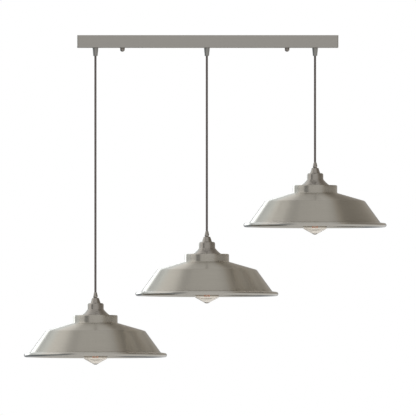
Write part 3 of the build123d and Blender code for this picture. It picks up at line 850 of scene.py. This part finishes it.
def bulb_glass(side):
    """Pear-shaped glass with a pointed lower end."""
    x, lip, _ = middle_of(f"shade_{side}")
    outline = rounded(
        [
            (NECK_RADIUS, NECK_TOP),
            (NECK_RADIUS, NECK_FOOT),
            (BULB_RADIUS, BULB_BELLY),
            (BULB_RADIUS, BULB_KNEE),
            (TIP_RADIUS, BULB_TIP),
            (0.0, BULB_TIP),
        ],
        BULB_ROUNDINGS,
        steps=BULB_STEPS,
    )
    inner = rounded(
        [
            (0.0, BULB_TIP + THICK_END),
            (TIP_INSIDE, BULB_TIP + THICK_END),
            (BULB_RADIUS - GLASS_WALL, BULB_KNEE_INSIDE),
            (BULB_RADIUS - GLASS_WALL, BULB_BELLY),
            (NECK_RADIUS - GLASS_WALL, NECK_FOOT),
            (NECK_RADIUS - GLASS_WALL, NECK_TOP),
        ],
        BULB_INSIDE_ROUNDINGS,
        steps=BULB_STEPS,
    )
    loop = dense(outline, BULB_FACET) + dense(inner, BULB_FACET)
    made = turned(f"bulb_glass_piece_{side}", loop, x, lip, BULB_SEGMENTS)
    piece(made, f"bulb_{side}", [GLASS], f"bulb_glass_{side}")


# A way that no wire runs, so that each has a cross direction
ASKEW = Vector((0.3, 0.5, 0.81))
WIRE_SIDES = 8


def tube_along(points, radius):
    """Vertices and faces of a thin closed wire along points."""
    vertices, faces = [], []
    for i, point in enumerate(points):
        before, after = points[max(i - 1, 0)], points[min(i + 1, len(points) - 1)]
        way = (after - before).normalized()
        across = way.cross(ASKEW).normalized()
        up = way.cross(across)
        for s in range(WIRE_SIDES):
            angle = 2 * math.pi * s / WIRE_SIDES
            vertices.append(point + across * (radius * math.cos(angle)) + up * (radius * math.sin(angle)))
    last = (len(points) - 1) * WIRE_SIDES
    for low in range(0, last, WIRE_SIDES):
        high = low + WIRE_SIDES
        for s in range(WIRE_SIDES):
            t = (s + 1) % WIRE_SIDES
            faces.append([low + s, low + t, high + t, high + s])
    faces.append(list(range(WIRE_SIDES))[::-1])
    faces.append([last + s for s in range(WIRE_SIDES)])
    return vertices, faces


# Filament: wires are radii, rings are radius and height, and turns are shares of the step to the next one
FILAMENT_LOOPS = 8
FILAMENT_WIRE = 0.32 * MM
HAIRPIN_TURN = 0.25
UPPER_RING = (5.5 * MM, 66.0 * MM)
LOWER_RING = (7.5 * MM, -3.0 * MM)
HOOK_WIRE = 0.18 * MM
HOOK_TURN = 0.375
HOOK_ROOT = 1.2 * MM
HOOK_OVERHANG = 0.2 * MM
UPPER_HOOK_RISE, LOWER_HOOK_RISE = 3.0 * MM, 2.5 * MM

# Stem: its flare in the bulb's neck, the stem itself and its rod
STEM_SEGMENTS = 48
STEM_FLARE_RADIUS, STEM_FLARE_EDGE, STEM_FLARE_FOOT = 10.8 * MM, 105.0 * MM, 98.0 * MM
STEM_RADIUS, STEM_FOOT = 4.0 * MM, 74.0 * MM
ROD_RADIUS, ROD_TOP, ROD_FOOT = 1.4 * MM, 70.0 * MM, -2.0 * MM
STEM_ROUNDINGS = 0.4 * MM, 0.4 * MM, 5.0 * MM, 2.0 * MM, 2.0 * MM, 0.8 * MM


def filament(side):
    """Cage of long hairpins strung between an upper and a lower ring of hooks."""
    x, lip, _ = middle_of(f"shade_{side}")
    points = []
    for loop in range(2 * FILAMENT_LOOPS):
        angle = 2 * math.pi * (loop + HAIRPIN_TURN) / (2 * FILAMENT_LOOPS)
        for radius, height in (UPPER_RING, LOWER_RING) if loop % 2 == 0 else (LOWER_RING, UPPER_RING):
            points.append(Vector((radius * math.cos(angle), radius * math.sin(angle), height)))
    vertices, faces = tube_along(points, FILAMENT_WIRE)
    for (radius, height), rise in ((UPPER_RING, UPPER_HOOK_RISE), (LOWER_RING, LOWER_HOOK_RISE)):
        for hook in range(FILAMENT_LOOPS):
            angle = 2 * math.pi * (hook + HOOK_TURN) / FILAMENT_LOOPS
            spoke = Vector((math.cos(angle), math.sin(angle), 0.0))
            root = spoke * HOOK_ROOT + Vector((0.0, 0.0, height + rise))
            tip = spoke * (radius + HOOK_OVERHANG) + Vector((0.0, 0.0, height))
            hook_vertices, hook_faces = tube_along([root, tip], HOOK_WIRE)
            faces += [[i + len(vertices) for i in face] for face in hook_faces]
            vertices += hook_vertices
    made = new_object(f"filament_piece_{side}", vertices, faces)
    made.location = (x, 0.0, lip)
    piece(made, f"bulb_{side}", [FILAMENT], f"filament_mount_{side}")


def stem(side):
    """Glass stem with its flare in the neck and the thin rod that carries the hooks."""
    x, lip, _ = middle_of(f"shade_{side}")
    loop = rounded(
        [
            (0.0, NECK_TOP),
            (STEM_FLARE_RADIUS, NECK_TOP),
            (STEM_FLARE_RADIUS, STEM_FLARE_EDGE),
            (STEM_RADIUS, STEM_FLARE_FOOT),
            (STEM_RADIUS, STEM_FOOT),
            (ROD_RADIUS, ROD_TOP),
            (ROD_RADIUS, ROD_FOOT),
            (0.0, ROD_FOOT),
        ],
        STEM_ROUNDINGS,
    )
    made = turned(f"stem_piece_{side}", loop, x, lip, STEM_SEGMENTS)
    dress(made, GLASS)
    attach(made, f"bulb_{side}")


for side in SIDES:
    shade(side)
    bell(side)
    cap(side)
    holder_grip(side)
    bulb_glass(side)
    filament(side)
    stem(side)


# Carried-over pieces get their finish

for node, material in {
    "mounting_strap": STRAP_STEEL,
    "strap_studs": ZINC,
    "stud_locknuts": ZINC,
    "strap_screws": ZINC,
    "terminal_screws": ZINC,
    "grip_locknuts": ZINC,
    "terminal_block": WHITE_PLASTIC,
    "terminal_inserts": BRASS,
    "cord_tails": CORD_JACKET,
    "live_cores": BROWN_CORE,
    "neutral_cores": BLUE_CORE,
    "earth_cores": EARTH_CORE,
}.items():
    dress(frame["nodes"][node], material)
for side in SIDES:
    for node, material in (
        ("lampholder", BLACK_PLASTIC),
        ("shade_ring", BLACK_PLASTIC),
        ("screw_shell", BRASS),
        ("centre_contact", BRASS),
        ("bulb_cap", CAP_METAL),
        ("bulb_contact", CAP_METAL),
    ):
        dress(frame["nodes"][f"{node}_{side}"], material)


# Floor

floor_mesh = bpy.data.meshes.new("floor")
half = FLOOR_SIZE / 2
floor_corners = [(-half, -half, 0), (half, -half, 0), (half, half, 0), (-half, half, 0)]
floor_mesh.from_pydata(floor_corners, [], [[0, 1, 2, 3]])
floor = bpy.data.objects.new("floor", floor_mesh)
floor.location.z = -FLOOR_DROP
bpy.context.scene.collection.objects.link(floor)
dress(floor, pale_floor())


# Light: a pale studio, as levels by the bearing in degrees of an upright surface that mirrors it to the front

ROOM_LEVELS = (
    (-90, 0.35),
    (-82, 0.45),
    (-80, 1.20),
    (-78, 3.00),
    (-71, 3.00),
    (-68, 2.00),
    (-65, 0.95),
    (-59, 1.20),
    (-52, 1.45),
    (-44, 1.42),
    (-36, 1.36),
    (-29, 1.18),
    (-22, 0.90),
    (-10, 0.85),
    (0, 0.89),
    (12, 0.87),
    (18, 0.76),
    (23, 0.54),
    (28, 0.38),
    (36, 0.36),
    (44, 0.39),
    (52, 0.41),
    (60, 0.45),
    (68, 0.50),
    (76, 0.48),
    (90, 0.30),
)
BRIGHTEST = 3.0
COOL_LIGHT, COOL_BEARING = (0.945, 1.0, 1.03), -45
WARM_LIGHT, WARM_BEARING = (1.07, 1.0, 0.91), 20
PLAIN_LIGHT = (1.0, 1.0, 1.0)

# A dark stand in front on the left, the ground far off, its dark left corner, and the dimmer wall behind
STAND_BEARING = math.radians(-23)
STAND_EDGES = math.radians(8), math.radians(4)
STAND_HEIGHTS = 0.7, 0.4
STAND_DEPTHS = 0.0, -0.3
STAND_SHARE = 0.55
GROUND_COLOUR = colour(0.94, 0.94, 0.94)
GROUND_HEIGHTS = -0.03, -0.08
LOW_CORNER_COLOUR = colour(0.27, 0.30, 0.33)
LOW_CORNER_BEARINGS = math.radians(-12), math.radians(-28)
LOW_CORNER_HEIGHTS = -0.02, -0.14
BACKDROP_EDGES = 0.955, 0.985
BACKDROP_COLOUR = colour(0.45, 0.45, 0.45)


def wall_colour(degrees, strength):
    """The light of one bearing: cooler on the left, warmer on the right, plain between."""
    hue = PLAIN_LIGHT
    if degrees < COOL_BEARING:
        hue = COOL_LIGHT
    elif degrees > WARM_BEARING:
        hue = WARM_LIGHT
    return colour(*(strength * part / BRIGHTEST for part in hue))


world = bpy.data.worlds.new("studio")
world.use_nodes = True
bpy.context.scene.world = world
sky = Graph(world.node_tree)
heading = sky.add("ShaderNodeTexCoord", output="Generated")
parts = sky.split(heading)
bearing = sky.math("ARCTAN2", parts["X"], sky.math("SUBTRACT", 1.0, parts["Y"]))
walls = sky.tree.nodes.new("ShaderNodeValToRGB")
sky.tree.links.new(sky.spread(bearing, -math.pi / 2, math.pi / 2, 0.0, 1.0), walls.inputs["Fac"])
stops = walls.color_ramp.elements
while len(stops) < len(ROOM_LEVELS):
    stops.new(0.5)
for stop, (degrees, strength) in zip(stops, ROOM_LEVELS):
    stop.position = (degrees + 90) / 180
    stop.color = wall_colour(degrees, strength)
aside = sky.math("ABSOLUTE", sky.math("SUBTRACT", bearing, STAND_BEARING))
height = sky.math("ABSOLUTE", parts["Z"])
stand_width = sky.spread(aside, *STAND_EDGES, 0.0, STAND_SHARE, True)
stand_height = sky.spread(height, *STAND_HEIGHTS, 0.0, 1.0, True)
stand_depth = sky.spread(parts["Y"], *STAND_DEPTHS, 0.0, 1.0, True)
shadow = sky.math("MULTIPLY", sky.math("MULTIPLY", stand_width, stand_height), stand_depth)
lit = sky.math("MULTIPLY", sky.math("SUBTRACT", 1.0, shadow), BRIGHTEST)
level = sky.add("ShaderNodeVectorMath", {0: walls.outputs["Color"], "Scale": lit}, operation="SCALE")
ground = sky.spread(parts["Z"], *GROUND_HEIGHTS, 0.0, 1.0, True)
level = sky.blend_colours(ground, level, GROUND_COLOUR)
leftwards = sky.spread(bearing, *LOW_CORNER_BEARINGS, 0.0, 1.0, True)
downwards = sky.spread(parts["Z"], *LOW_CORNER_HEIGHTS, 0.0, 1.0, True)
level = sky.blend_colours(sky.math("MULTIPLY", leftwards, downwards), level, LOW_CORNER_COLOUR)
behind = sky.spread(parts["Y"], *BACKDROP_EDGES, 0.0, 1.0, True)
level = sky.blend_colours(behind, level, BACKDROP_COLOUR)
room = sky.add("ShaderNodeBackground", {"Color": level, "Strength": 1.0})
backdrop = sky.add("ShaderNodeBackground", {"Color": WHITE, "Strength": 1.0})
path = sky.light_path()
shows = sky.math("MAXIMUM", path["Is Camera Ray"], path["Is Transmission Ray"])
sky.add("ShaderNodeOutputWorld", {"Surface": sky.blend_shaders(shows, room, backdrop)})

bpy.context.scene.view_settings.view_transform = "Standard"
